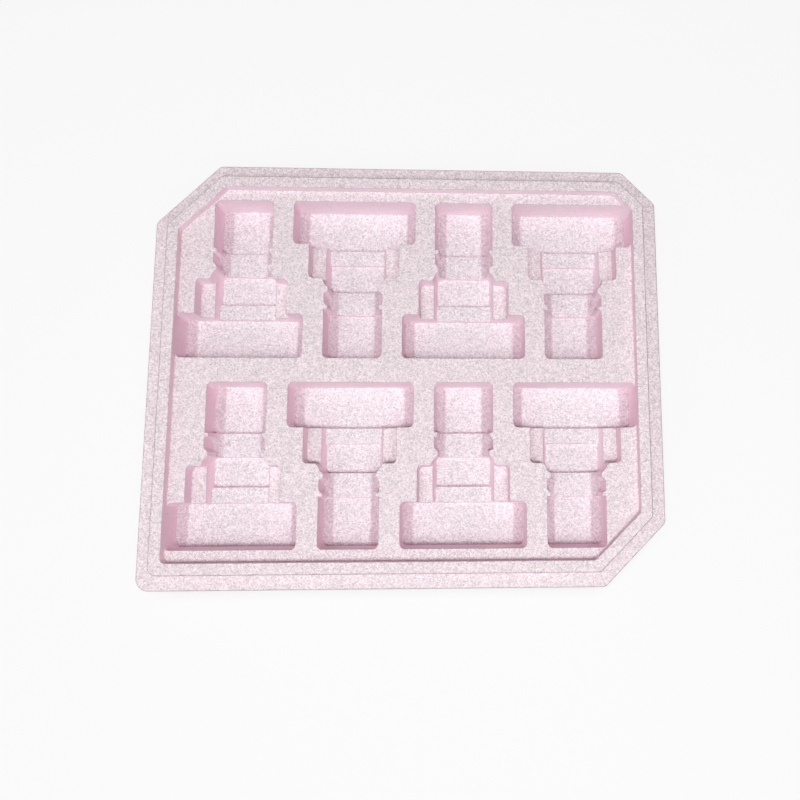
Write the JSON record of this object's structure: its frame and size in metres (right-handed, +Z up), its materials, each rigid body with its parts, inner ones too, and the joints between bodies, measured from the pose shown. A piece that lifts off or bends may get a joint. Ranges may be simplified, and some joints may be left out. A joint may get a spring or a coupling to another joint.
{
  "type": "foam packing tray",
  "caption": "Moulded polystyrene foam packing tray with stepped pockets in alternating directions, a raised inner rim, an outer ledge and cut corners that key it in its carton.",
  "frame": {"origin": "centre of the flat underside", "axes": "+Z up out of the pockets, +X along the long side to the right, +Y to the back"},
  "size_m": [0.4, 0.3332, 0.0445],
  "materials": {
    "foam": "matte moulded bead foam, pale pink"
  },
  "bodies": {
    "root": {"foam_tray": "foam"}
  },
  "joints": []
}
